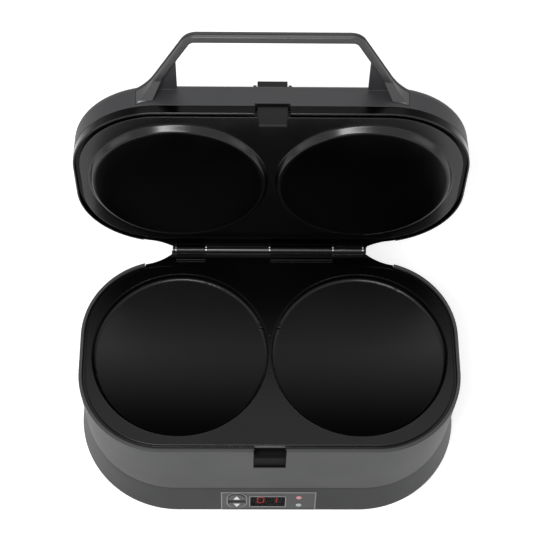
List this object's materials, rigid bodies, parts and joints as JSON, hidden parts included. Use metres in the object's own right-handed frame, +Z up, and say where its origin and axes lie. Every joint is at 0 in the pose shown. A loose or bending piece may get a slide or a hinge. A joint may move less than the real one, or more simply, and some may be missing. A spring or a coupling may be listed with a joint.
{
  "type": "pancake maker",
  "caption": "Countertop pancake maker with side-by-side round wells, a hinged lid with raised discs, a carrying handle, a sprung front latch and a panel with display and buttons.",
  "frame": {"origin": "on the table, in the middle of the width and depth of the open appliance", "axes": "+Z up, +X to the right as the user sees it, +Y towards the hinge"},
  "size_m": [0.3224, 0.2397, 0.3586],
  "materials": {
    "upper_housing_plastic": "fine matt texture, dark grey",
    "lower_housing_plastic": "fine matt texture, darker grey",
    "bottom_plastic": "matt, near black",
    "screw_steel": "zinc plated",
    "foot_rubber": "matt rubber",
    "base_plate_coating": "casting with a black non-stick coating, satin",
    "lid_plate_coating": "casting with a black non-stick coating, satin",
    "black_plastic": "black, semi-matt",
    "latch_plastic": "black, semi-matt",
    "element_steel": "heat-stained sheath",
    "clamp_steel": "plain sheet steel",
    "sheet_steel": "plain aluminium sheet",
    "sensor_metal": "dull metal",
    "panel_plastic": "fine matt, with a pale border",
    "lens": "glossy smoked window",
    "display": "black module with red segments",
    "red_lamp": "red lens",
    "green_lamp": "pale green lens, unlit",
    "board": "green solder mask",
    "switch_plastic": "black",
    "transformer_core": "laminated core and winding",
    "gland_rubber": "black rubber",
    "pin_steel": "plain steel",
    "lid_plastic": "fine matt texture, dark grey",
    "liner_plastic": "smooth dark grey",
    "spring_steel": "bright wire",
    "button_plastic": "satin grey"
  },
  "bodies": {
    "base": {"upper_housing": "upper_housing_plastic", "lower_housing": "lower_housing_plastic", "bottom_cover": "bottom_plastic", "housing_screws": "screw_steel", "foot_front_left": "foot_rubber", "foot_rear_left": "foot_rubber", "foot_front_right": "foot_rubber", "foot_rear_right": "foot_rubber", "base_plate": "base_plate_coating", "base_plate_screws": "screw_steel", "latch_pocket": "black_plastic", "base_heating_element_left": "element_steel", "base_heating_element_right": "element_steel", "base_element_clamps": "clamp_steel", "base_clamp_screws": "screw_steel", "base_heat_shield": "sheet_steel", "thermostat": "sensor_metal", "thermal_fuse": "sensor_metal", "fuse_clip": "clamp_steel", "control_panel": "panel_plastic", "display_lens": "lens", "display_module": "display", "power_led": "red_lamp", "ready_led": "green_lamp", "control_board": "board", "button_switches": "switch_plastic", "power_board": "board", "relay": "switch_plastic", "transformer": "transformer_core", "cord_gland": "gland_rubber", "hinge_pin": "pin_steel", "hinge_pin_clip": "pin_steel"},
    "lid": {"lid_plate": "lid_plate_coating", "lid_shell": "lid_plastic", "handle_liner": "liner_plastic", "lid_heating_element_left": "element_steel", "lid_heating_element_right": "element_steel", "lid_element_clamps": "clamp_steel", "lid_clamp_screws": "screw_steel", "lid_heat_shield": "sheet_steel", "latch_pivot_pin": "pin_steel", "latch_spring": "spring_steel"},
    "latch": {"latch_lever": "latch_plastic"},
    "up_key": {"up_button": "button_plastic"},
    "down_key": {"down_button": "button_plastic"}
  },
  "joints": [
    {"name": "lid_hinge", "type": "hinge", "parent": "base", "child": "lid", "pos_m": [0, 0.06723, 0.123], "axis": [1, 0, 0], "range_deg": [0, 95.75]},
    {"name": "latch_rock", "type": "hinge", "parent": "lid", "child": "latch", "pos_m": [0, 0.10247, 0.29333], "axis": [-1, 0, 0], "range_deg": [0, 8], "stiffness_Nm_per_rad": 0.5, "springref_deg": -5.73, "deforming": ["latch_spring"]},
    {"name": "up_button_press", "type": "slide", "parent": "base", "child": "up_key", "axis": [0, 0.9867, -0.1627], "range_m": [0, 0.0008], "stiffness_N_per_m": 300, "springref_m": -0.001},
    {"name": "down_button_press", "type": "slide", "parent": "base", "child": "down_key", "axis": [0, 0.9867, -0.1627], "range_m": [0, 0.0008], "stiffness_N_per_m": 300, "springref_m": -0.001}
  ]
}
